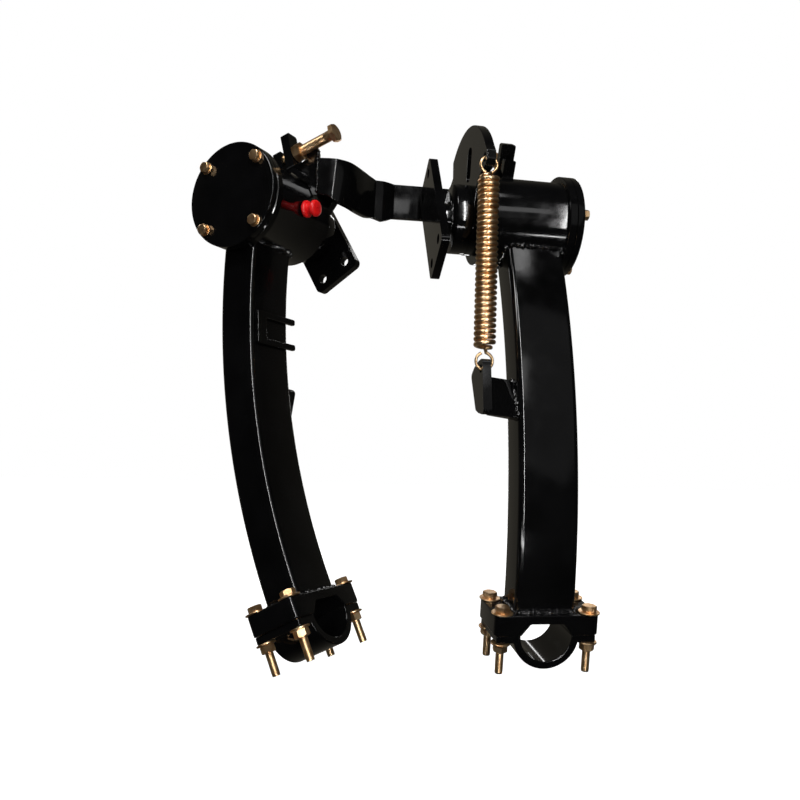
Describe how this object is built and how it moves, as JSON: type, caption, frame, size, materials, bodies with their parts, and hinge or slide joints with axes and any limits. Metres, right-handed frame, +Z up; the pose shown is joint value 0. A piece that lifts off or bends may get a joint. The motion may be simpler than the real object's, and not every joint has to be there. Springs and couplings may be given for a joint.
{
  "type": "sprung swing arm pair",
  "caption": "Two black flange-mounted pivots joined by a bent tie strap, each with a curved sprung arm that ends in a split tube clamp.",
  "frame": {"origin": "centre of the right flange's mounting face, on the right pivot axis", "axes": "+X along the right pivot axis from its flange to its end cap, +Z up, +Y to the hollow side of the right arm"},
  "size_m": [0.5124, 0.2852, 0.7069],
  "materials": {
    "black_paint": "gloss black paint",
    "yellow_zinc": "yellow-passivated zinc plating",
    "zinc_spring": "yellow-passivated zinc plating on spring wire",
    "bronze": "plain turned bronze",
    "red_plastic": "smooth moulded plastic"
  },
  "bodies": {
    "frame": {"tie_strap": "black_paint", "left_flange": "black_paint", "left_shaft": "black_paint", "left_shaft_nut": "black_paint", "left_sector_plate": "black_paint", "left_stop_bracket": "black_paint", "left_lock_nut": "yellow_zinc", "right_flange": "black_paint", "right_shaft": "black_paint", "right_shaft_nut": "black_paint", "right_sector_plate": "black_paint", "right_stop_bracket": "black_paint", "right_lock_nut": "yellow_zinc"},
    "left_swing_arm": {"left_end_cap": "black_paint", "left_cap_bolt_1": "yellow_zinc", "left_cap_bolt_2": "yellow_zinc", "left_cap_bolt_3": "yellow_zinc", "left_cap_bolt_4": "yellow_zinc", "left_housing": "black_paint", "left_bush": "bronze", "left_arm": "black_paint", "left_spring_lug": "black_paint", "left_clamp_block": "black_paint", "left_clamp_cap": "black_paint", "left_clamp_bolt_1": "yellow_zinc", "left_clamp_bolt_2": "yellow_zinc", "left_clamp_bolt_3": "yellow_zinc", "left_clamp_bolt_4": "yellow_zinc", "left_clamp_nut_1": "yellow_zinc", "left_clamp_nut_2": "yellow_zinc", "left_clamp_nut_3": "yellow_zinc", "left_clamp_nut_4": "yellow_zinc", "left_grease_nipple": "yellow_zinc", "left_line_guide": "black_paint"},
    "left_spring": {"left_spring": "zinc_spring"},
    "left_stop_bolt": {"left_stop_bolt": "yellow_zinc"},
    "left_grease_cap": {"left_grease_cap": "red_plastic"},
    "right_swing_arm": {"right_end_cap": "black_paint", "right_cap_bolt_1": "yellow_zinc", "right_cap_bolt_2": "yellow_zinc", "right_cap_bolt_3": "yellow_zinc", "right_cap_bolt_4": "yellow_zinc", "right_housing": "black_paint", "right_bush": "bronze", "right_arm": "black_paint", "right_spring_lug": "black_paint", "right_clamp_block": "black_paint", "right_clamp_cap": "black_paint", "right_clamp_bolt_1": "yellow_zinc", "right_clamp_bolt_2": "yellow_zinc", "right_clamp_bolt_3": "yellow_zinc", "right_clamp_bolt_4": "yellow_zinc", "right_clamp_nut_1": "yellow_zinc", "right_clamp_nut_2": "yellow_zinc", "right_clamp_nut_3": "yellow_zinc", "right_clamp_nut_4": "yellow_zinc", "right_grease_nipple": "yellow_zinc"},
    "right_spring": {"right_spring": "zinc_spring"},
    "right_stop_bolt": {"right_stop_bolt": "yellow_zinc"},
    "right_grease_cap": {"right_grease_cap": "red_plastic"}
  },
  "joints": [
    {"name": "left_swing", "type": "hinge", "parent": "frame", "child": "left_swing_arm", "pos_m": [-0.20971, 0.03876, 0.001], "axis": [-0.6311, -0.7757, 0], "range_deg": [0, 15], "stiffness_Nm_per_rad": 58, "springref_deg": -26.36},
    {"name": "left_spring_pivot", "type": "hinge", "parent": "frame", "child": "left_spring", "pos_m": [-0.25456, 0.15001, 0.0325], "axis": [-0.6311, -0.7757, 0], "range_deg": [0, 11.83], "deforming": ["left_spring"]},
    {"name": "left_stop_adjust", "type": "slide", "parent": "frame", "child": "left_stop_bolt", "axis": [0.7489, -0.6093, 0.2605], "range_m": [0, 0.012]},
    {"name": "left_grease_cap_pull", "type": "slide", "parent": "left_swing_arm", "child": "left_grease_cap", "axis": [0.7737, -0.6295, -0.0711], "range_m": [0, 0.03]},
    {"name": "right_swing", "type": "hinge", "parent": "frame", "child": "right_swing_arm", "pos_m": [0.112, 0, 0], "axis": [1, 0, 0], "range_deg": [0, 15], "stiffness_Nm_per_rad": 58, "springref_deg": -26.36},
    {"name": "right_spring_pivot", "type": "hinge", "parent": "frame", "child": "right_spring", "pos_m": [0.054, -0.092, 0.041], "axis": [1, 0, 0], "range_deg": [0, 12.04], "deforming": ["right_spring"]},
    {"name": "right_stop_adjust", "type": "slide", "parent": "frame", "child": "right_stop_bolt", "axis": [0, 0.859, 0.512], "range_m": [0, 0.012]},
    {"name": "right_grease_cap_pull", "type": "slide", "parent": "right_swing_arm", "child": "right_grease_cap", "axis": [0, 0.9333, -0.359], "range_m": [0, 0.03]}
  ],
  "couplings": [
    {"joint": "left_spring_pivot", "follows": "left_swing", "ratio": 0.7754},
    {"joint": "right_spring_pivot", "follows": "right_swing", "ratio": 0.7892}
  ]
}
